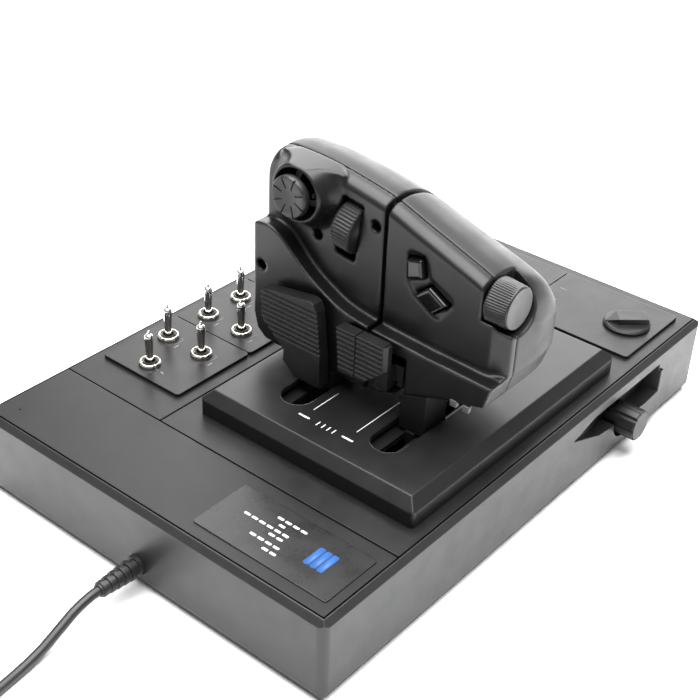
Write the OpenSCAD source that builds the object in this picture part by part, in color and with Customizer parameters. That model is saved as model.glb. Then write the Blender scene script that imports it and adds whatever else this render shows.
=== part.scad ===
// Desktop flight throttle: two sliding levers on a flat control base.
// Frame: +X is the user's right, +Y is away from the user, +Z is up.
// Origin: centre of the base outline, on the table. Millimetres.

/* [Base] */
// Width between the two side seams of the deck
base_w = 200; // [160:1:240]
// Length between the near and far seams of the deck
base_l = 295.5; // [240:0.5:340]
// Height of the deck above the table
base_h = 43.5; // [35:0.5:60]
// Thickness of the outer walls
wall = 2.8; // [2:0.1:4]
// Width of the dark seams between the deck plates
seam = 0.8; // [0.4:0.1:1.5]
// Thickness of the base floor
floor_t = 4.5; // [3:0.5:6]

/* [Throttle plinth] */
// Height of the plinth top above the table
plinth_h = 56; // [50:0.5:62]
// Width of each throttle slot
slot_w = 16; // [14:0.5:18]
// Middle of the right slot, measured along X
slot_rx = -6.6; // [-8:0.1:-5]
// Middle of the left slot, measured along X
slot_lx = -58.4; // [-60:0.1:-57]

/* [Grips] */
// Gap between the two throttle grips
split_gap = 2; // [1.6:0.1:3]
// Wall thickness of the grip shells
shell = 2.4; // [1.8:0.1:3]
// Y position of the far face of the grips
face_y = 33; // [31:0.5:35]
// Y position of the face below the ridge
skirt_y = 41; // [39:0.5:42]

/* [Controls] */
// Radius of the ribbed rotary knob on the left grip
knob_r = 10.6; // [9:0.1:10.8]
// Radius of the mini stick cap
cap_r = 9.7; // [9:0.1:10]
// Radius of the mode selector disc
mode_r = 12; // [11:0.5:13]
// Radius of the tension knob
tension_r = 8; // [7:0.5:8.5]
// Length of a toggle lever above its nut
toggle_len = 15.5; // [12:0.5:17]

/* [Cable] */
// Diameter of the USB cable
cable_d = 4.6; // [4:0.1:5]

/* [Hidden] */
$fn = 48;

half_w = base_w / 2;
half_l = base_l / 2;
out_w = half_w + wall;
out_l = half_l + wall;
foot_t = 1.5;
deck_t = 2.5;
deck_z = base_h - deck_t;
panel_t = 1.6;
panel_z = base_h + panel_t;
groove_y = 101.3;
side_x = 37.3;
plinth_x0 = -93.3;
plinth_x1 = 28.5;
plinth_y0 = -75.3;
plinth_y1 = 84.5;
plinth_chamfer = 4.8;
slot_y0 = -56;
slot_y1 = 65;

toggle_at = [[72.5, 73.9], [83.3, 51.4], [60.5, 51.4], [83.3, 23.5], [60.5, 23.5],
             [83.3, 0], [60.5, 0]];
toggle_z = panel_z + 1;
mode_at = [-77.6, -115.9];
tension_at = [-77, 19];

rod_r = 3;
rod_z = 22;
rod_dx = 12;
rod_y0 = -78;
rod_y1 = 91;
carriage_y0 = 14;
carriage_y1 = 54;

split_x = -32;
stick_at = [10, 145.5];
stick_pivot_y = 30;
wheel_at = [-12.2, 28, 133];
wheel_r = 12;
knob_at = [22.4, 122.5];
knob_x0 = -83;
knob_x1 = -95;

// ---------------------------------------------------------------- helpers

// Rounded rectangle between two corners
module round_rect(x0, y0, x1, y1, r) {
  for (sx = [x0 + r, x1 - r])
    for (sy = [y0 + r, y1 - r])
      translate([sx, sy])
        circle(r, $fn = 24);
  translate([x0 + r, y0])
    square([x1 - x0 - 2 * r, y1 - y0]);
  translate([x0, y0 + r])
    square([x1 - x0, y1 - y0 - 2 * r]);
}

// Raised plate lying on the deck
module plate(x0, y0, x1, y1, r = 2, t = panel_t) {
  translate([0, 0, base_h])
    linear_extrude(t)
      round_rect(x0, y0, x1, y1, r);
}

// Cylinder along X, starting at x
module rod_x(x, y, z, r, len) {
  translate([x, y, z])
    rotate([0, 90, 0])
      cylinder(r = r, h = len);
}

// Cylinder along Y, starting at y
module rod_y(x, y, z, r, len, r2 = 0) {
  translate([x, y, z])
    rotate([-90, 0, 0])
      cylinder(r1 = r, r2 = r2 > 0 ? r2 : r, h = len);
}

// Outline in the XZ plane, extruded from y0 to y1
module slab_y(points, y0, y1) {
  translate([0, y1, 0])
    rotate([90, 0, 0])
      linear_extrude(y1 - y0)
        polygon(points);
}

// Outline in the YZ plane, extruded from x0 to x1
module slab_x(points, x0, x1) {
  translate([x0, 0, 0])
    rotate([90, 0, 90])
      linear_extrude(x1 - x0)
        polygon(points);
}

// Solid through rings that all have the same number of points
module loft(rings) {
  n = len(rings[0]);
  m = len(rings);
  polyhedron(
    points = [for (ring = rings) each ring],
    faces = concat(
      [[for (i = [0 : n - 1]) i]],
      [[for (i = [n - 1 : -1 : 0]) (m - 1) * n + i]],
      [for (k = [0 : m - 2]) for (i = [0 : n - 1])
        [k * n + i, (k + 1) * n + i, (k + 1) * n + (i + 1) % n]],
      [for (k = [0 : m - 2]) for (i = [0 : n - 1])
        [k * n + i, (k + 1) * n + (i + 1) % n, k * n + (i + 1) % n]]),
    convexity = 6);
}

// ---------------------------------------------------------------- base

// Side profile of the base: bevelled at the top, undercut at the bottom
function base_side(a) = [
  [-a + 2.6, 0], [a - 2.6, 0], [a, 5.5], [a, base_h - wall],
  [a - wall, base_h], [-a + wall, base_h], [-a, base_h - wall], [-a, 5.5]];

// Plain block inside the outer skin
module base_solid() {
  intersection() {
    slab_y(base_side(out_w), -out_l, out_l);
    slab_x(base_side(out_l), -out_w, out_w);
    linear_extrude(base_h)
      round_rect(-out_w, -out_l, out_w, out_l, 4);
  }
}

// Hollow that the tension knob sits in
module tension_recess() {
  intersection() {
    slab_x([[-28, 31], [-47, 35.5], [-111, 35.5], [-111, 20], [-97, 18.2], [-70, 19.7],
            [-53, 21.5]], -out_w - 3, -half_w + 6);
    linear_extrude(base_h)
      polygon([[-out_w - 2, -24], [-out_w, -26], [-95, -66], [-95, -107], [-out_w - 2, -109]]);
  }
  rod_x(-out_w - 3, tension_at[0], tension_at[1], tension_r + 1.6, 10.8);
}

module base_tray() {
  color("#26272a")
  difference() {
    union() {
      difference() {
        base_solid();
        translate([-half_w, -half_l, floor_t])
          cube([base_w, base_l, base_h]);
      }
      translate([-half_w, -116, 1])
        cube([9.5, 96, 37]);
      translate([0, 0, 6])
        linear_extrude(26)
          polygon([[-half_w, -48], [-out_w, -48], [-out_w - 1.4, -111], [-half_w, -111]]);
      for (x = [-90, 90])
        for (y = [-138, 138])
          translate([x, y, 1])
            cylinder(r = 4, h = deck_z - 1);
      for (x = [-40, 60])
        for (y = [-143, 143])
          translate([x - 3, y - 3, 1])
            cube([6, 6, deck_z - 1]);
    }
    tension_recess();
    rod_x(-half_w, tension_at[0], tension_at[1], 4.3, 12);
    rod_y(1, half_l - 1, 12, 4.1, wall + 2);
    for (x = [-90, 90])
      for (y = [-138, 138]) {
        translate([x, y, -1])
          cylinder(r = 1.6, h = deck_z - 1);
        translate([x, y, -1])
          cylinder(r = 3.2, h = 5);
      }
    for (x = [-82, 82])
      for (y = [-126, 126])
        translate([x, y, -1])
          cylinder(r = 8, h = 1 + foot_t);
  }
}

module deck_far() {
  color("#2a2b2e")
  translate([0, 0, deck_z])
    linear_extrude(deck_t)
      difference() {
        translate([-half_w + seam, groove_y + seam / 2])
          square([base_w - 2 * seam, half_l - seam - groove_y - seam / 2]);
        for (x = [-90, 90])
          translate([x, 138])
            circle(0.5);
      }
}

module deck_side() {
  color("#2a2b2e")
  translate([0, 0, deck_z])
    linear_extrude(deck_t)
      difference() {
        translate([side_x + seam / 2, -half_l + seam])
          square([half_w - seam - side_x - seam / 2, groove_y - seam / 2 + half_l - seam]);
        for (p = toggle_at)
          translate([p[0] - 6.6, p[1] - 6.6])
            square(13.2);
      }
}

module deck_centre() {
  color("#2a2b2e")
  translate([0, 0, deck_z])
    linear_extrude(deck_t)
      difference() {
        translate([-half_w + seam, -half_l + seam])
          square([side_x - seam / 2 + half_w - seam, groove_y - seam / 2 + half_l - seam]);
        translate([plinth_x0 + 3, plinth_y0 + 3])
          square([plinth_x1 - plinth_x0 - 6, plinth_y1 - plinth_y0 - 6]);
        translate(mode_at)
          circle(7);
      }
}

// Plinth block with a bevelled top, grown or shrunk by d
module plinth_block(d, z0, z1) {
  zc = z1 - plinth_chamfer;
  c = plinth_chamfer;
  xa = plinth_x0 - d;
  xb = plinth_x1 + d;
  ya = plinth_y0 - d;
  yb = plinth_y1 + d;
  intersection() {
    slab_y([[xa, z0], [xb, z0], [xb, zc], [xb - c, z1], [xa + c, z1], [xa, zc]], ya, yb);
    slab_x([[ya, z0], [yb, z0], [yb, zc], [yb - c, z1], [ya + c, z1], [ya, zc]], xa, xb);
    linear_extrude(z1 + 1)
      round_rect(xa, ya, xb, yb, 2.5);
  }
}

// Rounded slot between two Y positions
module slot(x, w, y0, y1) {
  translate([x - w / 2, y0 + w / 2])
    square([w, y1 - y0 - w]);
  for (y = [y0 + w / 2, y1 - w / 2])
    translate([x, y])
      circle(w / 2);
}

module throttle_plinth() {
  color("#26272a")
  difference() {
    plinth_block(0, base_h, plinth_h);
    plinth_block(-2.6, base_h - 1, plinth_h - 2.6);
    translate([0, 0, base_h])
      linear_extrude(20)
        for (x = [slot_rx, slot_lx])
          slot(x, slot_w, slot_y0, slot_y1);
  }
}

module slot_floor() {
  color("#3b3c3f")
  difference() {
    translate([-78, -70, 49])
      cube([92, 149, 1.6]);
    translate([0, 0, 48])
      linear_extrude(4)
        for (x = [slot_rx, slot_lx])
          slot(x, 6, slot_y0 - 2, slot_y1 + 2);
  }
  color("#3b3c3f")
    for (y = [-66, 73])
      translate([-78, y, 50.6])
        cube([92, 3, 2.8]);
}

// Toggle panels: a hole for each bushing
module panel_toggle_far() {
  color("#303134")
  difference() {
    plate(44.1, 35.3, 95, 83.5);
    for (p = toggle_at)
      translate([p[0], p[1], base_h - 1])
        cylinder(r = 3.1, h = 5);
  }
}

module panel_toggle_near() {
  color("#303134")
  difference() {
    plate(44.1, -16.1, 95, 34.7);
    for (p = toggle_at)
      translate([p[0], p[1], base_h - 1])
        cylinder(r = 3.1, h = 5);
  }
}

module panel_side() {
  color("#303134")
    plate(44.1, -83, 95, -16.7);
}

module panel_mode() {
  color("#303134")
  difference() {
    plate(-93.5, -141, -27.5, -88.7);
    translate([mode_at[0], mode_at[1], base_h - 1])
      cylinder(r = 4.1, h = 5);
  }
}

module panel_rear() {
  color("#303134")
    plate(-26.9, -141, 95, -88.7);
}

module name_plate() {
  color("#1f2022")
    plate(-95, 108.9, -23, 140.9, 1.5, 0.5);
}

// ---------------------------------------------------------------- switches

module toggle_bodies() {
  color("#9a9ca0")
    for (p = toggle_at)
      translate([p[0], p[1], 0]) {
        difference() {
          union() {
            translate([-6.3, -6.3, 26])
              cube([12.6, 12.6, base_h - 26]);
            translate([0, 0, base_h])
              cylinder(r = 3, h = panel_t + 2);
          }
          translate([0, 0, 29])
            cylinder(r = 2.45, h = 30);
          translate([0, 0, toggle_z])
            cylinder(r1 = 2.45, r2 = 2.75, h = 1.2);
        }
        for (y = [-4, 0, 4])
          translate([-0.6, y - 0.9, 20])
            cube([1.2, 1.8, 6]);
      }
}

module toggle_nuts() {
  color("#d8dadd")
    for (p = toggle_at)
      translate([p[0], p[1], panel_z])
        difference() {
          union() {
            cylinder(r = 5.4, h = 1.1);
            translate([0, 0, 1.1])
              cylinder(r1 = 5.4, r2 = 4.4, h = 1.3);
          }
          translate([0, 0, -1])
            cylinder(r = 3.02, h = 5);
        }
}

// Lever with its ball, tail and rounded tip
module toggle_lever(i) {
  p = toggle_at[i];
  color("#c9ccd0")
    translate([p[0], p[1], toggle_z - 2]) {
      sphere(r = 2.4, $fn = 32);
      rotate_extrude($fn = 32)
        polygon([[0, -6], [0.9, -6], [1.1, -2.2], [1.3, 2.1], [1.5, 6],
                 [2.0, toggle_len - 2], [2.05, toggle_len + 0.5],
                 [1.5, toggle_len + 1.7], [0.7, toggle_len + 2.3], [0.55, toggle_len + 4],
                 [0, toggle_len + 4.4]]);
    }
}

module toggle_lever_1() { toggle_lever(0); }
module toggle_lever_2() { toggle_lever(1); }
module toggle_lever_3() { toggle_lever(2); }
module toggle_lever_4() { toggle_lever(3); }
module toggle_lever_5() { toggle_lever(4); }
module toggle_lever_6() { toggle_lever(5); }
module toggle_lever_7() { toggle_lever(6); }

// Rotary switch body under the mode panel
module mode_switch() {
  color("#5a5c60")
    translate([mode_at[0], mode_at[1], 0])
      difference() {
        union() {
          translate([0, 0, 26])
            cylinder(r = 11, h = deck_z - 26);
          translate([0, 0, deck_z])
            cylinder(r = 6.8, h = deck_t);
          translate([0, 0, base_h])
            cylinder(r = 4, h = panel_t);
        }
        translate([0, 0, 30])
          cylinder(r = 3.05, h = 30);
      }
}

module mode_knob() {
  z0 = panel_z + 0.4;
  color("#3a3b3e")
    translate([mode_at[0], mode_at[1], 0]) {
      translate([0, 0, 31])
        cylinder(r = 3, h = z0 - 30);
      translate([0, 0, z0])
        cylinder(r = mode_r, h = 0.9);
      translate([0, 0, z0 + 0.9])
        cylinder(r1 = mode_r, r2 = mode_r - 0.9, h = 0.9);
      rotate([0, 0, 42.5])
        intersection() {
          translate([0, 0, z0 + 1.4])
            linear_extrude(3.6)
              polygon([[-10.2, -4.5], [5, -4.5], [11, -0.4], [11, 0.4], [5, 4.5],
                       [-10.2, 4.5]]);
          slab_y([[-12, z0], [12, z0], [12, z0 + 1.9], [11, z0 + 2.1], [5, z0 + 5],
                  [-9.6, z0 + 5], [-12, z0 + 3]], -8, 8);
        }
    }
}

// ---------------------------------------------------------------- tension

module tension_knob() {
  x0 = -112.5;
  color("#2e2f32")
    difference() {
      union() {
        rod_x(x0, tension_at[0], tension_at[1], tension_r - 0.6, 0.8);
        rod_x(x0 + 0.6, tension_at[0], tension_at[1], tension_r, -95.4 - x0 - 0.6);
      }
      rod_x(-102, tension_at[0], tension_at[1], 3, 12);
      for (a = [0 : 45 : 315])
        translate([x0 - 1, tension_at[0], tension_at[1]])
          rotate([a, 0, 0])
            translate([0, tension_r + 0.5, 0])
              rotate([0, 90, 0])
                cylinder(r = 1.4, h = 30, $fn = 24);
    }
}

module tension_screw() {
  color("#b9bcc0") {
    rod_x(-102, tension_at[0], tension_at[1], 3, 12);
    rod_x(-90, tension_at[0], tension_at[1], 4, 14);
  }
}

module brake_bar() {
  color("#6b4a2f")
    difference() {
      union() {
        translate([-80.5, -90, 14])
          cube([2.5, 168, 12]);
        translate([-84.5, -84, 12])
          cube([4, 14, 14]);
      }
      rod_x(-86, tension_at[0], tension_at[1], 4.05, 12);
    }
}

// ---------------------------------------------------------------- guides

module rail_rods() {
  color("#c4c7cb")
    for (x = [slot_rx, slot_lx])
      for (d = [-rod_dx, rod_dx])
        rod_y(x + d, rod_y0, rod_z, rod_r, rod_y1 - rod_y0);
}

// Cross block that holds the four rods
module rail_block(y0) {
  difference() {
    translate([-75.2, y0, floor_t])
      cube([85.4, 12, 26]);
    for (x = [slot_rx, slot_lx])
      for (d = [-rod_dx, rod_dx])
        rod_y(x + d, y0 - 1, rod_z, rod_r, 14);
  }
}

module rail_block_far() {
  color("#4a4c50")
    rail_block(79);
}

module rail_block_near() {
  color("#4a4c50")
    rail_block(-78);
}

module rail_bumpers() {
  color("#151515")
    for (x = [slot_rx, slot_lx])
      for (d = [-rod_dx, rod_dx])
        for (y = [-66, 75.5])
          difference() {
            rod_y(x + d, y, rod_z, 5, 3.5);
            rod_y(x + d, y - 1, rod_z, rod_r, 6);
          }
}

// Plastic slider on two rods, with a post for the arm neck
module carriage(x) {
  difference() {
    union() {
      translate([x - 17, carriage_y0, 14])
        cube([34, carriage_y1 - carriage_y0, 16]);
      translate([x - 5, 24, 30])
        cube([10, 20, 8]);
      translate([x - 2.4, 26, 38])
        cube([4.8, 16, 14.4]);
    }
    for (d = [-rod_dx, rod_dx])
      rod_y(x + d, carriage_y0 - 1, rod_z, rod_r + 0.06, 60);
  }
}

module carriage_right() {
  color("#d9d6cc")
    carriage(slot_rx);
}

module carriage_left() {
  color("#d9d6cc")
    carriage(slot_lx);
}

module main_board() {
  color("#1d5b34")
    difference() {
      translate([44, -110, 9])
        cube([50, 170, 1.6]);
      for (y = [-104, 54])
        for (x = [50, 88])
          translate([x, y, 8])
            cylinder(r = 1.6, h = 4);
    }
  color("#1a1a1a") {
    translate([62, -30, 10.6])
      cube([14, 14, 1.6]);
    translate([52, 10, 10.6])
      cube([8, 6, 1.2]);
  }
  color("#e8e4d8")
    for (y = [-90, -70, 35])
      translate([48, y, 10.6])
        cube([6, 14, 6]);
  color("#1d5b34")
    for (y = [-104, 54])
      for (x = [50, 88])
        translate([x, y, floor_t])
          difference() {
            cylinder(r = 3, h = 4.5);
            translate([0, 0, 1])
              cylinder(r = 1.2, h = 5);
          }
}

// Two slide sensors beside the rods
module position_sensors() {
  color("#3d4f60")
    for (x = [slot_rx, slot_lx])
      translate([x - 4, -64, floor_t])
        difference() {
          cube([8, 140, 7]);
          translate([3, 5, 3])
            cube([2, 130, 6]);
        }
}

module feet() {
  color("#141414")
    for (x = [-82, 82])
      for (y = [-126, 126])
        translate([x, y, 0])
          cylinder(r = 8, h = foot_t);
}

module case_screws() {
  color("#8d9094")
    for (x = [-90, 90])
      for (y = [-138, 138])
        translate([x, y, 2]) {
          cylinder(r = 2.9, h = 2);
          cylinder(r = 1.55, h = 36);
        }
}

// ---------------------------------------------------------------- grips

grip_top = [
  [35.5, 143], [35, 150], [32, 155.5], [27, 158], [17, 158.6], [3, 158], [-8, 156.6],
  [-20, 154.6], [-32, 152], [-49, 146], [-65, 140.4], [-82, 134.2], [-90, 129.5],
  [-95, 122], [-97, 113]];
grip_bottom = [
  [-97, 92.4], [-94.2, 82], [-79, 78], [-53, 70], [-46, 66], [-33, 63], [22, 63],
  [29, 64], [33.5, 68], [35.5, 76]];
grip_mid_x = -30.75;
grip_mid_z = 85;

// One grip outline per row: y, height factor, end inset, bottom lift factor
grip_stations = [
  [33, 0.938, 1.2, 0], [31.2, 0.968, 0.4, 0], [28, 0.99, 0, 0], [20, 1, 0, 0],
  [14, 0.988, 0, 0], [7, 0.955, 0, 0], [0, 0.895, 0.6, 0], [-6, 0.825, 1.8, 0.02],
  [-12, 0.72, 4, 0.06], [-17, 0.58, 7.5, 0.14], [-21, 0.4, 13, 0.3],
  [-23.4, 0.22, 19, 0.5], [-24, 0.12, 23, 0.65]];

// Moves one outline point to a station, w is the wall to take off
function grip_point(p, s, w, top) =
  let (kx = 1 - (s[2] + w) / 66.25,
       up = max(0, p[1] - grip_mid_z) * s[1] * (1 - (top ? w : 0) / 73),
       dn = min(0, p[1] - grip_mid_z) * (1 - s[3]) * (1 - w / 22))
  [grip_mid_x + (p[0] - grip_mid_x) * kx,
   w > 0 ? face_y - w - (face_y - s[0]) * (57 - 2 * w) / 57 : s[0],
   grip_mid_z + up + dn];

function grip_ring(s, w) = concat(
  [for (p = grip_top) grip_point(p, s, w, true)],
  [for (p = grip_bottom) grip_point(p, s, w, false)]);

module grip_loft(w) {
  loft([for (s = grip_stations) grip_ring(s, w)]);
}

// Outline below the ridge, in the XZ plane
skirt_outline = concat(
  [[35.5, 122.6], [28, 123.6], [23, 122.3], [18, 119.4], [14.5, 116.2], [11, 113.2],
   [7, 109.8], [2.7, 106.6], [-1, 104.4], [-5, 102.2], [-9, 100.2], [-13, 98.4],
   [-17, 97.2], [-22, 96.1], [-28, 95.3], [-33, 94.8], [-62, 93.2]],
  grip_bottom);

// Everything inside the outer surface of both grips
module grip_outer() {
  difference() {
    union() {
      grip_loft(0);
      slab_y(skirt_outline, 28, skirt_y);
    }
    translate([0, 0, 93])
      linear_extrude(60)
        polygon([[-89, 33.01], [-97.5, 28.75], [-110, 28], [-110, 45], [-89, 45]]);
    knob_notch();
  }
}

// Corner notch that the rotary knob sits in
module knob_notch() {
  translate([knob_x0 - 40, knob_at[0], knob_at[1]])
    rotate([0, 90, 0])
      cylinder(r = knob_r + 1.2, h = 40);
  translate([knob_x0 - 40, knob_at[0] - knob_r - 1.2, knob_at[1]])
    cube([40, 40, 40]);
}

module grip_inner() {
  difference() {
    union() {
      grip_loft(shell);
      translate([0, skirt_y - shell, 0])
        rotate([90, 0, 0])
          linear_extrude(9)
            offset(delta = -shell)
              polygon(skirt_outline);
    }
    translate([0, 0, 90])
      linear_extrude(60)
        polygon([[-86, 32.2], [-93.5, 28.1], [-110, 20], [-110, 45], [-86, 45]]);
    translate([knob_x0 - 40, knob_at[0], knob_at[1]])
      rotate([0, 90, 0])
        cylinder(r = knob_r + 1.2 + shell, h = 40 + shell);
    translate([knob_x0 - 40, knob_at[0] - knob_r - 1.2 - shell, knob_at[1]])
      cube([40 + shell, 40, 40]);
  }
}

module right_of(x) {
  translate([x, -60, 40])
    cube([120, 140, 160]);
}

module left_of(x) {
  translate([x - 120, -60, 40])
    cube([120, 140, 160]);
}

module far_of(y) {
  translate([-140, y, 40])
    cube([240, 60, 160]);
}

// Hollow skin of the right grip, closed at the split
module right_skin() {
  difference() {
    intersection() {
      grip_outer();
      right_of(split_x + split_gap / 2);
    }
    intersection() {
      grip_inner();
      right_of(split_x + split_gap / 2 + shell);
    }
  }
}

module left_skin() {
  difference() {
    intersection() {
      grip_outer();
      left_of(split_x - split_gap / 2);
    }
    intersection() {
      grip_inner();
      left_of(split_x - split_gap / 2 - shell);
    }
  }
}

// Screws of each grip: x, z, start of the post at the near wall, and the face they enter
right_screws = [[5.1, 124.2, -16.8, 33], [-26.8, 139.5, -6, 33], [31, 101.8, -12, 41]];
left_screws = [[-72, 104, -19.6, 33], [-38, 104, -20.8, 33]];

// Screw post: part of the face in front, part of the shell behind
module screw_post(p, y0, y1) {
  rod_y(p[0], y0, p[1], 4.2, y1 - y0);
}

module screw_hole(p) {
  rod_y(p[0], 6, p[1], 1.35, 34);
  rod_y(p[0], p[3] - 6, p[1], 2.6, 10);
}

module grip_screw(p) {
  rod_y(p[0], p[3] - 6, p[1], 2.4, 2);
  rod_y(p[0], 8, p[1], 1.3, p[3] - 14);
}

module grip_right_shell() {
  color("#2d2e31")
  difference() {
    union() {
      difference() {
        right_skin();
        far_of(24.9);
      }
      for (p = right_screws)
        screw_post(p, p[2], 24.9);
    }
    for (p = right_screws)
      screw_hole(p);
  }
}

module grip_right_face() {
  color("#242528")
  difference() {
    union() {
      intersection() {
        right_skin();
        far_of(25.2);
      }
      for (p = right_screws)
        screw_post(p, 25.2, p[3] - 1);
      difference() {
        rod_y(stick_at[0], face_y - 1, stick_at[1], 15.8, 11, 13.2);
        translate([-60, 20, 159])
          cube([120, 40, 20]);
      }
      rod_y(stick_at[0], 25.2, stick_at[1], 13.2, 8.3);
      wheel_housing();
    }
    rod_y(stick_at[0], 20, stick_at[1], 11.8, 30);
    rod_y(stick_at[0], 40.5, stick_at[1], 11.8, 3, 12.6);
    rod_x(stick_at[0] - 16, stick_pivot_y, stick_at[1], 1.55, 32);
    translate(wheel_at)
      rotate([0, -8, 0]) {
        translate([-6.1, -14, -14])
          cube([12.2, 40, 28]);
        translate([-9, 0, 0])
          rotate([0, 90, 0])
            cylinder(r = 1.55, h = 18);
      }
    for (p = right_screws)
      screw_hole(p);
    translate([-4.5, 30, 71])
      cube([13, 20, 22]);
    translate([-28.2, 30, 70])
      cube([6.4, 20, 22]);
  }
}

// Ears behind the face that carry the scroll wheel pin
module wheel_housing() {
  translate(wheel_at)
    rotate([0, -8, 0])
      for (x = [-8.6, 6.1])
        translate([x, -4, -4])
          cube([2.5, 7, 8]);
}

module stick_gimbal() {
  color("#77797d")
  difference() {
    union() {
      rod_y(stick_at[0], stick_pivot_y - 2.5, stick_at[1], 9.5, 5);
      rod_x(stick_at[0] - 13.2, stick_pivot_y, stick_at[1], 1.5, 26.4);
    }
    rod_y(stick_at[0], stick_pivot_y - 4, stick_at[1], 6.4, 8);
    translate([stick_at[0], stick_pivot_y, stick_at[1] - 12])
      cylinder(r = 1.35, h = 24);
  }
}

module stick_cap() {
  color("#1c1d1f")
  difference() {
    union() {
      rod_y(stick_at[0], stick_pivot_y - 3, stick_at[1], 3.4, 16.5);
      translate([stick_at[0], stick_pivot_y, stick_at[1] - 9])
        cylinder(r = 1.3, h = 18);
      rod_y(stick_at[0], 43.4, stick_at[1], cap_r - 0.8, 1, cap_r);
      rod_y(stick_at[0], 44.4, stick_at[1], cap_r, 2.6);
      rod_y(stick_at[0], 47, stick_at[1], cap_r, 0.8, cap_r - 0.8);
    }
    translate([stick_at[0], 60.2, stick_at[1]])
      sphere(r = 13.8, $fn = 40);
    for (a = [22.5 : 45 : 337.5])
      translate([stick_at[0], 47.8, stick_at[1]])
        rotate([0, a, 0])
          translate([5, -0.5, -0.35])
            cube([6, 2, 0.7]);
  }
}

module scroll_wheel() {
  color("#2b2c2f")
  translate(wheel_at)
    rotate([0, -8, 0])
      rotate([0, 90, 0]) {
        translate([0, 0, -8.4])
          cylinder(r = 1.5, h = 16.8);
        difference() {
          translate([0, 0, -5.3])
            cylinder(r = wheel_r, h = 10.6, $fn = 64);
          for (a = [0 : 12 : 348])
            rotate([0, 0, a])
              translate([wheel_r + 0.15, 0, -6])
                cylinder(r = 0.55, h = 12, $fn = 16);
        }
      }
}

module grip_right_screws() {
  color("#3c3e42")
    for (p = right_screws)
      grip_screw(p);
}

// Ribbed finger lift; ribs run along X between z0 and z1
module paddle_ribs(outline, y1, z0, z1) {
  difference() {
    slab_y(outline, 44, y1);
    for (z = [z0 : 2.5 : z1])
      translate([-60, y1, z])
        rotate([45, 0, 0])
          translate([0, -0.6, -0.6])
            cube([120, 1.2, 1.2]);
  }
}

module paddle_right() {
  color("#2b2c2f") {
    paddle_ribs([[23.2, 95.5], [22, 97], [-5, 101.5], [-8, 100.5], [-9.8, 97], [-12.3, 74],
                 [-12.6, 58.4], [2.4, 58.4], [9.3, 64.5], [9, 70], [22.5, 81.2]], 50, 76, 96);
    translate([-4, 34.5, 73])
      cube([12, 9.5, 13]);
    translate([-27.5, 34.5, 73])
      cube([40.5, 3.4, 11]);
    paddle_ribs(inner_pad, 50, 76, 94);
    translate([-27.2, 34.5, 73.6])
      cube([4.4, 9.5, 10]);
  }
}

// Finger pad under the split: one half on each grip
inner_pad = [[-21.1, 95], [-31.7, 95], [-31.7, 73.6], [-23, 73.1]];
outer_pad = [[-32.3, 95], [-46.8, 95], [-47.1, 81.8], [-38, 74], [-32.3, 73.65]];

module arm_right() {
  color("#1a1b1d")
    slab_y([[slot_rx + 6.8, 52.4], [slot_rx - 6.8, 52.4], [slot_rx - 6.8, 63],
            [slot_rx + 6.8, 63]], 25, skirt_y);
}

module arm_left() {
  color("#1a1b1d")
    slab_y([[slot_lx + 6.8, 52.4], [slot_lx - 6.8, 52.4], [slot_lx - 6.8, 73.75],
            [-53, 70], [slot_lx + 6.8, 69.2]], 25, skirt_y);
}

module grip_left_shell() {
  color("#2d2e31")
  difference() {
    union() {
      difference() {
        left_skin();
        far_of(24.9);
      }
      for (p = left_screws)
        screw_post(p, p[2], 24.9);
    }
    for (p = left_screws)
      screw_hole(p);
    rod_x(-90, knob_at[0], knob_at[1], 3.1, 20);
  }
}

// Outline of the joined recess around the two grip buttons
module button_recess(d) {
  translate([0, face_y + 1, 0])
    rotate([90, 0, 0])
      linear_extrude(20)
        offset(delta = d)
          polygon([[-44.3, 121], [-44, 133], [-46, 135.5], [-53.6, 135.5], [-55.8, 131.5],
                   [-57, 126], [-68, 121], [-69.3, 117.8], [-63, 108.6], [-60, 108.2],
                   [-48.4, 115.3]]);
}

module grip_left_face() {
  color("#242528")
  difference() {
    union() {
      intersection() {
        left_skin();
        far_of(25.2);
      }
      for (p = left_screws)
        screw_post(p, 25.2, p[3] - 1);
      intersection() {
        button_recess(1.8);
        far_of(25.2);
        translate([-120, 20, 60])
          cube([110, face_y - 20, 100]);
      }
    }
    intersection() {
      button_recess(0);
      far_of(31);
    }
    button_shape(upper_button, 0.35, 20, 40);
    button_shape(lower_button, 0.35, 20, 40);
    for (p = left_screws)
      screw_hole(p);
    translate([-53, 30, 67])
      cube([16, 20, 21]);
    rod_x(-90, knob_at[0], knob_at[1], 3.1, 20);
  }
}

upper_button = [[-45.4, 121.8], [-45.1, 131.8], [-52.6, 133.6], [-53.9, 125.2]];
lower_button = [[-50, 116.2], [-57.6, 122.6], [-67, 117.2], [-59.4, 110.2]];

// Button outline grown by d
module button_shape(points, d, y0, y1) {
  translate([0, y1, 0])
    rotate([90, 0, 0])
      linear_extrude(y1 - y0)
        offset(delta = d)
          polygon(points);
}

module button_upper() {
  color("#101113") {
    slab_y(upper_button, 23, 35);
    rod_y(-49.2, 17, 127.6, 1.5, 6);
  }
}

module button_lower() {
  color("#101113") {
    slab_y(lower_button, 23, 35);
    rod_y(-58.5, 17, 116.5, 1.5, 6);
  }
}

module grip_knob() {
  color("#2b2c2f") {
    translate([knob_x0 - 0.6, knob_at[0], knob_at[1]])
      rotate([0, -90, 0])
        linear_extrude(11.4)
          difference() {
            circle(knob_r - 0.3);
            for (a = [0 : 10 : 350])
              rotate(a)
                translate([knob_r - 0.1, 0])
                  circle(0.5, $fn = 16);
          }
    rod_x(knob_x0 - 2, knob_at[0], knob_at[1], 3, 12);
  }
}

module grip_left_screws() {
  color("#3c3e42")
    for (p = left_screws)
      grip_screw(p);
}

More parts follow.
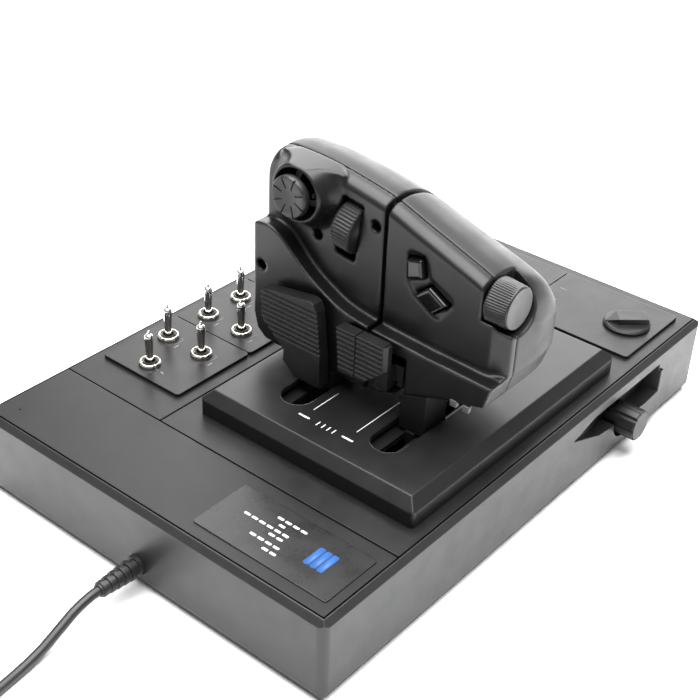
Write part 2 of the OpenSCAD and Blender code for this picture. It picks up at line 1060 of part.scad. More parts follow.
module paddle_left() {
  color("#2b2c2f") {
    paddle_ribs(outer_pad, 50, 76, 94);
    translate([-46, 34.5, 70])
      cube([7, 9.5, 11]);
    translate([-50, 34.5, 72])
      cube([14, 3.4, 9]);
  }
}

// ---------------------------------------------------------------- cable

cable_route = [
  [1, 142, 12], [1, 160, 12], [1, 176, 12], [0.5, 186, 10.6], [-0.5, 196, 7],
  [-1.5, 206, 3.8], [-2.5, 217, 2.4], [-4, 230, 2.3], [-6.2, 245, 2.3], [-8.8, 260, 2.3],
  [-10.8, 271, 2.3], [-11.7, 283, 2.3]];
tail_route = [
  [-70.5, 283, 14], [-70.9, 275, 13], [-72.2, 267, 10.8], [-74.6, 259, 8.2], [-77.4, 251, 6.2],
  [-80, 243, 5.3], [-81.6, 238, 5], [-82, 234, 5]];
coil_at = [-40, 283, 0];
plug_at = [-82, 234, 5];
coil_r = 25;

// Rings of the tube, square to the route
function unit(v) = v / norm(v);
function tube_dir(q, i) = unit(q[min(i + 1, len(q) - 1)] - q[max(i - 1, 0)]);
function tube_ring(q, i, r, n) =
  let (d = tube_dir(q, i), a = unit(cross([0, 0, 1], d)), b = cross(d, a))
  [for (k = [0 : n - 1]) q[i] + r * (cos(360 * k / n) * a + sin(360 * k / n) * b)];

// Smooth points between the route points
function smooth(q, steps) = concat(
  [for (i = [0 : len(q) - 2]) for (t = [0 : steps - 1])
    let (u = t / steps, a = q[max(i - 1, 0)], b = q[i], c = q[i + 1],
         d = q[min(i + 2, len(q) - 1)])
    0.5 * (2 * b + u * (c - a) + u * u * (2 * a - 5 * b + 4 * c - d)
           + u * u * u * (3 * b - a - 3 * c + d))],
  [q[len(q) - 1]]);

module tube(q, r) {
  p = smooth(q, 2);
  loft([for (i = [0 : len(p) - 1]) [for (v = tube_ring(p, i, r, 12)) v]]);
}

module cable_boot() {
  color("#131314")
  difference() {
    union() {
      rod_y(1, half_l - 2.5, 12, 5.4, 2.4);
      rod_y(1, half_l - 0.4, 12, 4, wall + 0.6);
      rod_y(1, half_l + wall + 0.1, 12, 5, 2);
      rod_y(1, half_l + wall + 2, 12, 3.7, 20, 3);
      for (i = [0 : 4])
        rod_y(1, half_l + wall + 4.5 + i * 3.6, 12, 4.7 - i * 0.25, 2);
    }
    rod_y(1, 130, 12, cable_d / 2, 60);
  }
}

module cable() {
  color("#1b1b1c")
    tube(cable_route, cable_d / 2);
}

module cable_tail() {
  color("#1b1b1c")
    tube(tail_route, cable_d / 2);
}

module cable_coil() {
  color("#1b1b1c")
    translate(coil_at)
      rotate_extrude($fn = 64)
        for (row = [0 : 3])
          for (k = [0 : 2])
            translate([coil_r - 5.5 + k * 4.4 + (row % 2) * 2.2,
                       cable_d / 2 + row * 3.9])
              circle(cable_d / 2, $fn = 20);
}

module usb_plug() {
  color("#141415")
    translate(plug_at) {
      rotate([90, 0, 0])
        cylinder(r1 = 3, r2 = 4, h = 8);
      difference() {
        translate([-7.8, -29, -3.9])
          cube([15.6, 21, 7.8]);
        translate([-6.05, -29.5, -2.3])
          cube([12.1, 10, 4.6]);
      }
      translate([-5.5, -40, -1.9])
        cube([11, 20.5, 1.6]);
    }
}

module usb_shell() {
  color("#c9ccd0")
    translate(plug_at)
      difference() {
        translate([-6, -40.5, -2.25])
          cube([12, 21, 4.5]);
        translate([-5.6, -41, -1.95])
          cube([11.2, 22, 3.9]);
      }
}

// ---------------------------------------------------------------- nodes

base_tray();
deck_far();
deck_side();
deck_centre();
throttle_plinth();
slot_floor();
panel_toggle_far();
panel_toggle_near();
panel_side();
panel_mode();
panel_rear();
name_plate();
toggle_bodies();
toggle_nuts();
toggle_lever_1();
toggle_lever_2();
toggle_lever_3();
toggle_lever_4();
toggle_lever_5();
toggle_lever_6();
toggle_lever_7();
mode_switch();
mode_knob();
tension_knob();
tension_screw();
brake_bar();
rail_rods();
rail_block_far();
rail_block_near();
rail_bumpers();
main_board();
position_sensors();
feet();
case_screws();
cable_boot();
cable();
cable_coil();
cable_tail();
usb_plug();
usb_shell();
carriage_right();
arm_right();
grip_right_shell();
grip_right_face();
stick_gimbal();
stick_cap();
scroll_wheel();
grip_right_screws();
paddle_right();
carriage_left();
arm_left();
grip_left_shell();
grip_left_face();
grip_knob();
button_upper();
button_lower();
grip_left_screws();
paddle_left();
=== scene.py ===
import math

import bmesh
import bpy
from mathutils import Matrix, Vector


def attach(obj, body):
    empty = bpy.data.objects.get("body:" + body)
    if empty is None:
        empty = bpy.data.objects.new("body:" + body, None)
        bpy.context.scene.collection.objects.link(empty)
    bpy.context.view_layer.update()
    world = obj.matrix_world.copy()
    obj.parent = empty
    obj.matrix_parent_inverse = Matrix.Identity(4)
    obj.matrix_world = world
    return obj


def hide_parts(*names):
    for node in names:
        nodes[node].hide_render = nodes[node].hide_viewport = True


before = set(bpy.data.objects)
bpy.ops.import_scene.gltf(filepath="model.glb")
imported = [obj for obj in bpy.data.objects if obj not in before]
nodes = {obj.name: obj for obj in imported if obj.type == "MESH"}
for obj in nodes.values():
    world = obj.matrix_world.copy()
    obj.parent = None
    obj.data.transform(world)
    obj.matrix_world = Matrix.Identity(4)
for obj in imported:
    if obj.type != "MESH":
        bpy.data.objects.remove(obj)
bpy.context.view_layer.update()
scene = bpy.context.scene
scene.view_settings.view_transform = "Standard"
scene.view_settings.look = "None"


# ------------------------------------------------------------------ camera

def add_camera():
    yaw, pitch, roll = (math.radians(a) for a in (-51.75, 32.94, 2.63))
    forward = Vector((math.cos(yaw) * math.cos(pitch), math.sin(yaw) * math.cos(pitch),
                      -math.sin(pitch)))
    right = Vector((math.sin(yaw), -math.cos(yaw), 0))
    down = forward.cross(right)
    across = math.cos(roll) * right - math.sin(roll) * down
    drop = math.sin(roll) * right + math.cos(roll) * down
    data = bpy.data.cameras.new("camera")
    data.lens = 70.72
    data.sensor_width = 36
    data.clip_start = 0.01
    data.clip_end = 20
    cam = bpy.data.objects.new("camera", data)
    scene.collection.objects.link(cam)
    turn = Matrix((across, -drop, -forward)).transposed().to_4x4()
    cam.matrix_world = Matrix.Translation((-0.3390, 0.4426, 0.4107)) @ turn
    scene.camera = cam


add_camera()


# ------------------------------------------------------------------ nodes of materials

def new_material(name):
    mat = bpy.data.materials.new(name)
    mat.use_nodes = True
    tree = mat.node_tree
    shader = next(n for n in tree.nodes if n.type == "BSDF_PRINCIPLED")
    return mat, tree, shader


def add(tree, kind, **values):
    node = tree.nodes.new(kind)
    for key, value in values.items():
        if hasattr(node, key):
            setattr(node, key, value)
        else:
            node.inputs[key].default_value = value
    return node


def put(node, **values):
    for key, value in values.items():
        node.inputs[key.replace("_", " ")].default_value = value


def coords(tree):
    return add(tree, "ShaderNodeTexCoord").outputs["Object"]


def noise(tree, where, scale, detail=3.0, rough=0.5):
    tex = add(tree, "ShaderNodeTexNoise")
    put(tex, Scale=scale, Detail=detail, Roughness=rough)
    tree.links.new(where, tex.inputs["Vector"])
    return tex.outputs["Fac"]


def spread(tree, value, low, high, from_low=0.3, from_high=0.7):
    node = add(tree, "ShaderNodeMapRange")
    put(node, From_Min=from_low, From_Max=from_high, To_Min=low, To_Max=high)
    tree.links.new(value, node.inputs["Value"])
    return node.outputs["Result"]


def mix(tree, factor, a, b):
    node = add(tree, "ShaderNodeMix", data_type="RGBA")
    tree.links.new(factor, node.inputs[0])
    for socket, value in ((node.inputs[6], a), (node.inputs[7], b)):
        if isinstance(value, tuple):
            socket.default_value = (*value, 1)
        else:
            tree.links.new(value, socket)
    return node.outputs[2]


PATCH = 0.03  # size of the clouds in a plastic's colour, m


def plastic(name, dark, light, rough, grain=0.0, grain_size=0.0004, edge=0.0005, spec=0.5):
    """Moulded plastic: mottled colour, uneven gloss, spark-eroded grain, soft edges."""
    mat, tree, shader = new_material(name)
    where = coords(tree)
    cloud = noise(tree, where, 1 / PATCH, 4)
    colour = mix(tree, spread(tree, cloud, 0, 1), dark, light)
    fine = noise(tree, where, 1 / grain_size, 2)
    tree.links.new(colour, shader.inputs["Base Color"])
    uneven = noise(tree, where, 1 / (PATCH * 0.35), 5, 0.6)
    tree.links.new(spread(tree, uneven, rough[0], rough[1]), shader.inputs["Roughness"])
    put(shader, IOR=1.5)
    shader.inputs["Specular IOR Level"].default_value = spec
    last = None
    if edge > 0:
        soft = add(tree, "ShaderNodeBevel", samples=6)
        put(soft, Radius=edge)
        last = soft.outputs["Normal"]
    if grain > 0:
        bump = add(tree, "ShaderNodeBump")
        put(bump, Strength=grain, Distance=grain_size * 0.25)
        tree.links.new(fine, bump.inputs["Height"])
        if last is not None:
            tree.links.new(last, bump.inputs["Normal"])
        last = bump.outputs["Normal"]
    if last is not None:
        tree.links.new(last, shader.inputs["Normal"])
    return mat


def metal(name, dark, light, rough):
    """Plated or machined metal with fine uneven polish."""
    mat, tree, shader = new_material(name)
    where = coords(tree)
    cloud = noise(tree, where, 900, 4)
    tree.links.new(mix(tree, spread(tree, cloud, 0, 1), dark, light), shader.inputs["Base Color"])
    fine = noise(tree, where, 4000, 3)
    tree.links.new(spread(tree, fine, rough[0], rough[1]), shader.inputs["Roughness"])
    put(shader, Metallic=1.0)
    soft = add(tree, "ShaderNodeBevel", samples=6)
    put(soft, Radius=0.0002)
    bump = add(tree, "ShaderNodeBump")
    put(bump, Strength=0.1, Distance=0.00005)
    tree.links.new(fine, bump.inputs["Height"])
    tree.links.new(soft.outputs["Normal"], bump.inputs["Normal"])
    tree.links.new(bump.outputs["Normal"], shader.inputs["Normal"])
    return mat


def grey(v):
    """Near-black plastics are a touch blue."""
    return (v, v, v * 1.04)


M = {
    "deck": plastic("satin_deck", grey(0.006), grey(0.009), (0.34, 0.44), 0.25, 0.0005, 0.0005,
                    0.27),
    "tray": plastic("satin_tray", grey(0.010), grey(0.013), (0.34, 0.44), 0.2, 0.0005, 0.0007),
    "panel": plastic("satin_panel", grey(0.007), grey(0.010), (0.32, 0.42), 0.25, 0.0005, 0.0005,
                     0.3),
    "plinth": plastic("satin_plinth", grey(0.006), grey(0.008), (0.3, 0.38), 0.2, 0.0005, 0.001,
                      0.4),
    "plate": plastic("plate_film", grey(0.003), grey(0.005), (0.24, 0.32), 0.1, 0.0006, 0.0003),
    "grip": plastic("grip_coating", grey(0.006), grey(0.009), (0.36, 0.48), 0.3, 0.0004,
                    0.0008, 0.38),
    "grip_face": plastic("grip_face", grey(0.003), grey(0.005), (0.29, 0.38), 0.2, 0.0004,
                         0.0016, 0.36),
    "control": plastic("control_plastic", grey(0.005), grey(0.007), (0.35, 0.5), 0.3, 0.0003,
                       0.0004, 0.42),
    "knob": plastic("knob_plastic", grey(0.006), grey(0.008), (0.3, 0.42), 0.2, 0.0003, 0.0003,
                    0.5),
    "tab": plastic("tab_plastic", grey(0.05), grey(0.07), (0.4, 0.5), 0.2, 0.0003, 0.0004),
    "gloss": plastic("button_gloss", grey(0.002), grey(0.003), (0.07, 0.12), 0.0, 0.0004, 0.0006,
                     0.42),
    "frame": plastic("frame_plastic", grey(0.010), grey(0.014), (0.4, 0.55), 0.3, 0.0005, 0.0004),
    "acetal": plastic("acetal", grey(0.006), grey(0.008), (0.3, 0.42), 0.1, 0.0005,
                      0.0004),
    "board": plastic("board", (0.005, 0.06, 0.022), (0.008, 0.08, 0.03), (0.25, 0.4), 0.1, 0.0005,
                     0.0001),
    "sensor": plastic("sensor_body", (0.035, 0.06, 0.085), (0.045, 0.075, 0.1), (0.4, 0.5), 0.2,
                      0.0005, 0.0003),
    "felt": plastic("brake_felt", (0.10, 0.055, 0.03), (0.15, 0.085, 0.05), (0.8, 0.95), 0.8,
                    0.0005, 0.0003),
    "rubber": plastic("rubber", grey(0.010), grey(0.014), (0.6, 0.8), 0.5, 0.0006, 0.0005, 0.4),
    "jacket": plastic("cable_jacket", grey(0.009), grey(0.013), (0.38, 0.5), 0.3, 0.0005, 0.0003),
    "boot": plastic("boot_rubber", grey(0.008), grey(0.012), (0.42, 0.55), 0.3, 0.0005, 0.0003),
    "chrome": metal("nut_chrome", (0.66, 0.61, 0.53), (0.84, 0.82, 0.78), (0.12, 0.24)),
    "lever": metal("lever_chrome", (0.62, 0.60, 0.57), (0.80, 0.79, 0.77), (0.10, 0.2)),
    # painted shade: near-black, rough plastic for the parts that lie in shade under the grips
    "painted_shade": plastic("painted_shade_plastic", grey(0.003), grey(0.004), (0.55, 0.7), 0.2, 0.0005, 0.0003,
                     0.22),
    "print": plastic("white_print", (0.70, 0.70, 0.70), (0.82, 0.82, 0.82), (0.5, 0.6), 0.1,
                     0.0003, 0.0),
    "faint": plastic("faint_print", (0.10, 0.10, 0.10), (0.16, 0.16, 0.16), (0.5, 0.6), 0.1,
                     0.0003, 0.0),
    "blue": plastic("blue_print", (0.02, 0.09, 0.30), (0.03, 0.12, 0.36), (0.5, 0.6), 0.1,
                    0.0003, 0.0),
    "steel": metal("steel", (0.42, 0.42, 0.43), (0.5, 0.5, 0.51), (0.25, 0.4)),
    "screw_black": metal("screw_black", (0.05, 0.05, 0.052), (0.07, 0.07, 0.072), (0.3, 0.45)),
}

SLOT_LOOK = {
    "deck_plastic": "deck", "tray_plastic": "tray", "panel_plastic": "panel",
    "plate_film": "plate", "grip_plastic": "grip", "control_plastic": "control",
    "button_gloss": "gloss", "bright_metal": "chrome", "switch_body": "steel", "steel": "steel",
    "acetal": "acetal", "frame_plastic": "frame", "board": "board", "sensor": "sensor",
    "brake_felt": "felt", "rubber": "rubber", "cable_jacket": "jacket",
    "screw_black": "screw_black", "screw_steel": "steel"}
NODE_LOOK = {
    "throttle_plinth": "plinth", "grip_right_face": "grip_face", "grip_left_face": "grip_face",
    # slot floor, arms and carriages take the painted-shade plastic, as dark as the shade under the
    # grips
    "cable_boot": "boot", "usb_plug": "boot", "slot_floor": "painted_shade", "arm_left": "painted_shade",
    "carriage_left": "painted_shade", "carriage_right": "painted_shade", "arm_right": "painted_shade",
    # toggle_bodies: black metal as painted shade, for the bushings in the dark hollow of the nuts
    "rail_rods": "screw_black", "toggle_bodies": "screw_black"}


def dress(obj, look):
    if not obj.material_slots:
        obj.data.materials.append(M[look])
    for slot in obj.material_slots:
        slot.material = M[look]


for name, obj in nodes.items():
    slot = obj.material_slots[0].material.name.split(".")[0]
    look = NODE_LOOK.get(name) or SLOT_LOOK[slot]
    if name.startswith("toggle_lever"):
        look = "lever"
    dress(obj, look)


# ------------------------------------------------------------------ cable

def smooth_path(points, steps):
    out = []
    for i in range(len(points) - 1):
        a = points[max(i - 1, 0)]
        b = points[i]
        c = points[i + 1]
        d = points[min(i + 2, len(points) - 1)]
        for t in range(steps):
            u = t / steps
            out.append(0.5 * (2 * b + u * (c - a) + u * u * (2 * a - 5 * b + 4 * c - d)
                              + u ** 3 * (3 * b - a - 3 * c + d)))
    return out + [points[-1]]


CABLE_D = 4.6
COIL = Vector((-40, 283, 0))
COIL_IN = 18.9         # radius of the innermost strand
COIL_STEP = 4.62       # from strand to strand, across
COIL_RISE = 4.05       # from row to row, up
COIL_TURNS = 11.5
COIL_POINTS = 36       # points per turn


def coil_path():
    """Four rows of three turns, in and out by turns, with a short step from one to the next."""
    turns = []
    for row in range(4):
        ks = (2, 1, 0) if row % 2 == 0 else (0, 1, 2)
        for k in ks:
            turns.append((COIL_IN + (k + (row % 2) / 2) * COIL_STEP,
                          CABLE_D / 2 + row * COIL_RISE))
    out = []
    for i in range(int(COIL_TURNS * COIL_POINTS) + 1):
        at = i / COIL_POINTS
        n = min(int(at), 11)
        inside = at - n
        r, z = turns[n]
        if inside > 0.8 and n < 11:
            u = (inside - 0.8) / 0.2
            s = u * u * (3 - 2 * u)
            r2, z2 = turns[n + 1]
            r, z = r + (r2 - r) * s, z + (z2 - z) * s
        if n >= 3:
            z += 0.7 * max(0.0, 1 - abs(inside - 0.9) / 0.16)
        a = 2 * math.pi * at
        out.append(COIL + Vector((r * math.cos(a), r * math.sin(a), z)))
    return out


def add_cable():
    lead = [Vector(p) for p in (
        (1, 150.6, 12), (1, 160, 12), (1, 170, 12), (1, 177, 11.9), (0.5, 186, 10.4),
        (-0.5, 196, 7.2), (-1.5, 206, 4.2), (-2.5, 217, 2.6), (-4, 230, 2.3), (-6.2, 245, 2.3),
        (-8.8, 260, 2.3), (-10.8, 271, 2.3))]
    ring = coil_path()
    tail = [Vector(p) for p in (
        (-71.2, 274, 13.4), (-72.6, 266, 11.2), (-74.8, 258.5, 8.6), (-77.4, 251, 6.6),
        (-79.8, 244, 5.4), (-81.4, 238.5, 5.05), (-82, 233, 5))]
    path = smooth_path(lead + ring[:1], 4)[:-1] + ring + smooth_path(ring[-1:] + tail, 4)[1:]
    curve = bpy.data.curves.new("usb_cable", "CURVE")
    curve.dimensions = "3D"
    spline = curve.splines.new("POLY")
    spline.points.add(len(path) - 1)
    for point, p in zip(spline.points, path):
        point.co = (*(p / 1000), 1)
    curve.bevel_depth = CABLE_D / 2000
    curve.bevel_resolution = 5
    curve.use_fill_caps = True
    obj = bpy.data.objects.new("usb_cable", curve)
    scene.collection.objects.link(obj)
    curve.materials.append(M["jacket"])
    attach(obj, "base")
    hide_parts("cable", "cable_coil", "cable_tail")
    return obj


add_cable()


# ------------------------------------------------------------------ mesh helpers, in mm

def to_object(bm, name):
    bmesh.ops.recalc_face_normals(bm, faces=bm.faces[:])
    bmesh.ops.scale(bm, vec=(0.001, 0.001, 0.001), verts=bm.verts[:])
    mesh = bpy.data.meshes.new(name)
    bm.to_mesh(mesh)
    bm.free()
    mesh.polygons.foreach_set("use_smooth", [True] * len(mesh.polygons))
    obj = bpy.data.objects.new(name, mesh)
    scene.collection.objects.link(obj)
    return obj


def settle(obj):
    """Applies the modifiers of an object to its own mesh."""
    bpy.context.view_layer.update()
    seen = obj.evaluated_get(bpy.context.evaluated_depsgraph_get())
    mesh = bpy.data.meshes.new_from_object(seen)
    obj.modifiers.clear()
    obj.data = mesh
    obj.data.polygons.foreach_set("use_smooth", [True] * len(obj.data.polygons))
    return obj


def drop(*objs):
    for o in objs:
        bpy.data.objects.remove(o)


def place(axis, a, b, c):
    """Point with outline coordinates a, b and height c along an axis."""
    return {"x": (c, a, b), "y": (a, c, b), "z": (a, b, c)}[axis]


def prism(name, outline, low, high, axis="z"):
    bm = bmesh.new()
    ends = [[bm.verts.new(place(axis, a, b, c)) for a, b in outline] for c in (low, high)]
    bm.faces.new(ends[0])
    bm.faces.new(ends[1])
    n = len(outline)
    for i in range(n):
        k = (i + 1) % n
        bm.faces.new((ends[0][i], ends[0][k], ends[1][k], ends[1][i]))
    return to_object(bm, name)


def block(name, low, high):
    return prism(name, [(low[0], low[1]), (high[0], low[1]), (high[0], high[1]),
                        (low[0], high[1])], low[2], high[2])


def lathe(name, profile, centre, axis="z", n=48, ripple=None, ring_shaped=False):
    """Solid turned from (radius, height) points; ripple(angle, r, h) may shape the skin."""
    bm = bmesh.new()
    rings = []
    for r, h in profile:
        if r < 1e-6:
            rings.append([bm.verts.new(Vector(place(axis, 0, 0, h)) + Vector(centre))])
            continue
        ring = []
        for i in range(n):
            a = 2 * math.pi * i / n
            q = ripple(a, r, h) if ripple else r
            p = place(axis, q * math.cos(a), q * math.sin(a), h)
            ring.append(bm.verts.new(Vector(p) + Vector(centre)))
        rings.append(ring)
    for low, high in zip(rings, rings[1:] + (rings[:1] if ring_shaped else [])):
        for i in range(n):
            k = (i + 1) % n
            if len(low) == 1:
                bm.faces.new((low[0], high[i], high[k]))
            elif len(high) == 1:
                bm.faces.new((low[i], low[k], high[0]))
            else:
                bm.faces.new((low[i], low[k], high[k], high[i]))
    return to_object(bm, name)


def rod(name, centre, r, low, high, axis, n=40):
    return lathe(name, [(0, low), (r, low), (r, high), (0, high)], centre, axis, n)


def measure(obj):
    """Volume in mm3 and number of open edges."""
    bm = bmesh.new()
    bm.from_mesh(obj.data)
    out = bm.calc_volume() * 1e9, sum(1 for e in bm.edges if not e.is_manifold)
    bm.free()
    return out


def cut_once(obj, tool, kind, selfish, nudge):
    """One boolean; nudge moves the tool by some hundredths of a millimetre."""
    tool.matrix_world = (Matrix.Translation(Vector((17, 13, 11)) * nudge * 1e-6)
                         @ tool.matrix_world)
    mod = obj.modifiers.new("carve", "BOOLEAN")
    mod.operation = kind
    mod.solver = "EXACT"
    mod.object = tool
    mod.use_self = selfish
    settle(obj)


def carve(obj, adds=(), cuts=()):
    """Joins some solids to an object and cuts others away; keeps the cleanest result."""
    for solids, kind in ((adds, "UNION"), (cuts, "DIFFERENCE")):
        for tool in solids:
            kept, best = obj.data, None
            for selfish, nudge in ((False, 0), (False, 1), (True, 0), (False, -3)):
                obj.data = kept.copy()
                cut_once(obj, tool, kind, selfish, nudge)
                size, holes = measure(obj)
                if best is None or holes < best[0]:
                    best = (holes, obj.data)
                if holes == 0:
                    break
            obj.data = best[1]
            if best[0]:
                print("open edges", obj.name, tool.name, best[0])
        drop(*solids)
    return obj


def soften(obj, voxel, rounds, keep=1.0):
    """Even skin with rounded edges."""
    mod = obj.modifiers.new("skin", "REMESH")
    mod.mode = "VOXEL"
    mod.voxel_size = voxel / 1000
    mod.use_smooth_shade = True
    mod = obj.modifiers.new("relax", "SMOOTH")
    mod.factor = 0.5
    mod.iterations = rounds
    if keep < 1:
        mod = obj.modifiers.new("thin", "DECIMATE")
        mod.ratio = keep
    return settle(obj)


def round_edges(obj, width, segments=3, angle=28):
    mod = obj.modifiers.new("edges", "BEVEL")
    mod.width = width / 1000
    mod.segments = segments
    mod.limit_method = "ANGLE"
    mod.angle_limit = math.radians(angle)
    mod.harden_normals = True
    mod.use_clamp_overlap = True
    return settle(obj)


def hand_in(obj, look, body, slot, *stands_for):
    obj.data.materials.clear()
    obj.data.materials.append(M[look])
    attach(obj, body)
    if stands_for:
        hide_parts(*stands_for)
    return obj


def spline(points, steps):
    flat = smooth_path([Vector((*p, 0)) if len(p) == 2 else Vector(p) for p in points], steps)
    return [tuple(v)[:len(points[0])] for v in flat]


# ------------------------------------------------------------------ grips

# The grips seen along Y: top line and lower line, from +X round to -X and back.
GRIP_TOP = [(35.5, 143), (35, 150), (32, 155.5), (27, 158), (17, 158.6), (3, 158), (-8, 156.6),
            (-20, 154.6), (-32, 152), (-49, 146), (-65, 140.4), (-82, 134.2), (-90, 129.5),
            (-95, 122), (-97, 113)]
GRIP_LOW = [(-97, 92.4), (-94.2, 82), (-79, 78), (-53, 70), (-46, 66), (-33, 63), (22, 63),
            (29, 64), (33.5, 68), (35.5, 76)]
# Along Y: place, height above z 85 and inset of the sides against the full outline, lift below.
STATIONS = [(33, 0.938, 1.2, 0), (32.2, 0.953, 0.7, 0), (31.2, 0.968, 0.4, 0),
            (28, 0.99, 0, 0), (20, 1, 0, 0), (14, 0.988, 0, 0), (7, 0.955, 0, 0),
            (0, 0.895, 0.6, 0), (-6, 0.825, 1.8, 0.02), (-12, 0.72, 4, 0.06),
            (-17, 0.58, 7.5, 0.14), (-21, 0.4, 13, 0.3), (-23.4, 0.22, 19, 0.5),
            (-24, 0.12, 23, 0.65)]
# Upper edge of the skirt, the thicker lower part of the face.
RIDGE = [(35.5, 122.6), (28, 123.6), (23, 122.3), (18, 119.4), (14.5, 116.2), (11, 113.2),
         (7, 109.8), (2.7, 106.6), (-1, 104.4), (-5, 102.2), (-9, 100.2), (-13, 98.4),
         (-17, 97.2), (-22, 96.1), (-28, 95.3), (-33, 94.8), (-62, 93.2)]
FACE_Y, SKIRT_Y, SEAM_Y = 33, 41, 25
SPLIT_X = -32
STICK = (10, 145.5)
WHEEL = (-12.2, 28, 133)
KNOB = (22.4, 122.5)
NOTCH_R = 11.8
PLAY = 0.52            # round a button
UPPER = [(-45.4, 121.8), (-45.1, 131.8), (-52.6, 133.6), (-53.9, 125.2)]
LOWER = [(-50, 116.2), (-57.6, 122.6), (-67, 117.2), (-59.4, 110.2)]
RECESS = [(-44.3, 121), (-44, 133), (-46, 135.5), (-53.6, 135.5), (-55.8, 131.5), (-57, 126),
          (-68, 121), (-69.3, 117.8), (-63, 108.6), (-60, 108.2), (-48.4, 115.3)]


def grip_point(p, s):
    y, tall, inset, lift = s
    wide = 1 - inset / 66.25
    up = max(0, p[1] - 85) * tall
    down = min(0, p[1] - 85) * (1 - lift)
    return (-30.75 + (p[0] + 30.75) * wide, y, 85 + up + down)


def subdivide(points, steps):
    out = []
    for a, b in zip(points, points[1:]):
        for t in range(steps):
            u = t / steps
            out.append((a[0] + (b[0] - a[0]) * u, a[1] + (b[1] - a[1]) * u))
    return out + [points[-1]]


def grip_block(name):
    outline = (spline(GRIP_TOP, 5) + subdivide(GRIP_LOW, 3)
               + subdivide([GRIP_LOW[-1], GRIP_TOP[0]], 6)[1:-1])
    stations = spline(STATIONS, 3)
    bm = bmesh.new()
    rings = [[bm.verts.new(grip_point(p, s)) for p in outline] for s in stations]
    n = len(outline)
    for a, b in zip(rings, rings[1:]):
        for i in range(n):
            k = (i + 1) % n
            bm.faces.new((a[i], a[k], b[k], b[i]))
    bm.faces.new(rings[0])
    bm.faces.new(rings[-1])
    return to_object(bm, name)


def grown(outline, d):
    """Outline with every side moved out by d."""
    n = len(outline)
    area = sum(outline[i][0] * outline[(i + 1) % n][1] - outline[(i + 1) % n][0] * outline[i][1]
               for i in range(n))
    side = 1 if area > 0 else -1
    out = []
    for i in range(n):
        a, b, c = Vector(outline[i - 1]), Vector(outline[i]), Vector(outline[(i + 1) % n])
        u, v = (b - a).normalized(), (c - b).normalized()
        n1, n2 = Vector((u.y, -u.x)) * side, Vector((v.y, -v.x)) * side
        m = (n1 + n2).normalized()
        out.append(tuple(b + m * (d / max(0.4, m.dot(n1)))))
    return out


def grip_cuts(side, zone):
    """Rooms for the controls, their bearings and the screws."""
    out = []
    if side == "right":
        out.append(rod("bore", (STICK[0], 0, STICK[1]), 11.8, 20, 60, "y", 64))
        if zone == "face":
            out.append(rod("pin_room", (0, 30, STICK[1]), 1.8, STICK[0] - 13.8, STICK[0] + 13.8, "x"))
        wells = [block("well", (-5.9, -13.8, -14.2), (5.9, 16, 14.2))]
        if zone == "face":
            wells.append(rod("axle_room", (0, 0, 0), 1.8, -9, 9, "x"))
        for well in wells:
            well.matrix_world = (Matrix.Translation(Vector(WHEEL) / 1000)
                                 @ Matrix.Rotation(math.radians(-8), 4, "Y"))
        out += wells
        room = block("plate_room", (-28.9, 33.7, 71.9), (14.4, 38.7, 91.8))
        holes = ((5.1, 124.2, FACE_Y), (-26.8, 139.5, FACE_Y), (31, 101.8, SKIRT_Y))
        windows = ((-5, 70.5, 9, 94.2), (-28.7, 70, -21.3, 93))
    else:
        out.append(rod("shaft_room", (0, *KNOB), 3.3, -90, -72, "x"))
        for shape, x, z in ((UPPER, -49.2, 127.6), (LOWER, -58.5, 116.5)):
            if zone == "shell":
                out.append(prism("pocket", grown(shape, PLAY), 21.2, 27, "y"))
                out.append(rod("stem_room", (x, 0, z), 2, 15, 23, "y"))
            else:
                out.append(prism("pocket", grown(shape, PLAY), 23, 34, "y"))
        room = block("plate_room", (-50.7, 33.9, 71.4), (-35.4, 38.5, 87.6))
        holes = ()
        windows = ((-53, 67, -37, 88),)
        if zone == "face":
            out.append(prism("recess", RECESS, 32.2, 40, "y"))
    if zone == "shell":
        drop(room)
        return out
    out.append(room)
    for x, z, y in holes:
        out.append(rod("screw_hole", (x, 0, z), 2.6, y - 6, y + 3, "y", 32))
    for x0, z0, x1, z1 in windows:
        out.append(block("window", (x0, 34.3, z0), (x1, 50, z1)))
    return out


